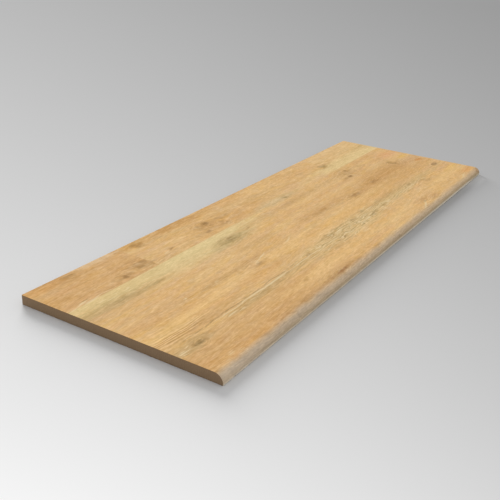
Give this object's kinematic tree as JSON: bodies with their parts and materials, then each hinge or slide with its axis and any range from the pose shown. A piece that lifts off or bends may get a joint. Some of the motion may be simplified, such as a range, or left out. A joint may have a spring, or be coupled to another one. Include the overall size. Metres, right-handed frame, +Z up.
{
  "type": "stair tread",
  "caption": "Flat rectangular stair tread board with a quarter-round nose along one long edge, a square back edge and square-cut ends.",
  "frame": {"origin": "centre of the underside's outline, on the face that the tread lies on", "axes": "+X along the tread's length, +Y from the nose to the back edge, +Z up out of the walking face"},
  "size_m": [1.2, 0.4, 0.018],
  "materials": {
    "oak_board": "satin oak decor face and nose, plain brown sawn ends"
  },
  "bodies": {
    "root": {"tread_board": "oak_board"}
  },
  "joints": []
}
